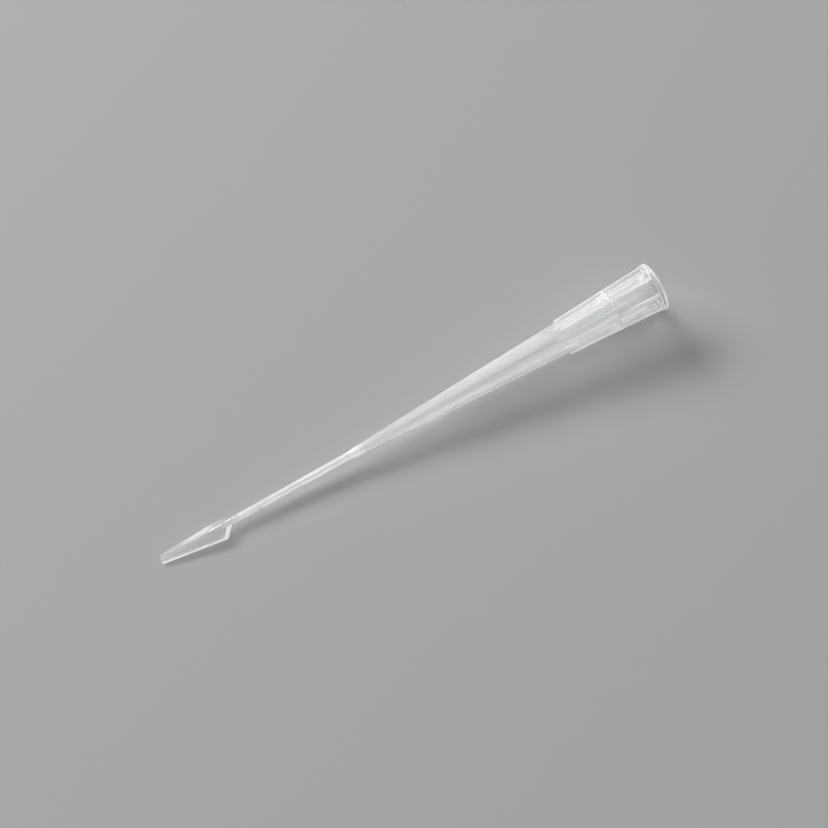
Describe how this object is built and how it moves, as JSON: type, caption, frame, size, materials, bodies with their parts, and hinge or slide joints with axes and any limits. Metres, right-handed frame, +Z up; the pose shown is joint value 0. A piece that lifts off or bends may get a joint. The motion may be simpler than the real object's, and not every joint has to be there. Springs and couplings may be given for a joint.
{
  "type": "pipette tip",
  "caption": "Long flat-ended gel-loading pipette tip: ribbed socket collar, conical body, thin tube and a flat hollow blade with a slot at its end.",
  "frame": {"origin": "on the surface it lies on, under the middle of its bounding box", "axes": "+X along the tip from the blade's end to the collar's rim, leaning up by 2.49 degrees; +Y across the blade towards its narrow shoulder; +Z up from the surface it lies on"},
  "size_m": [0.083, 0.0076, 0.0076],
  "materials": {
    "polypropylene": "natural translucent, lightly polished"
  },
  "bodies": {
    "root": {"pipette_tip": "polypropylene"}
  },
  "joints": []
}
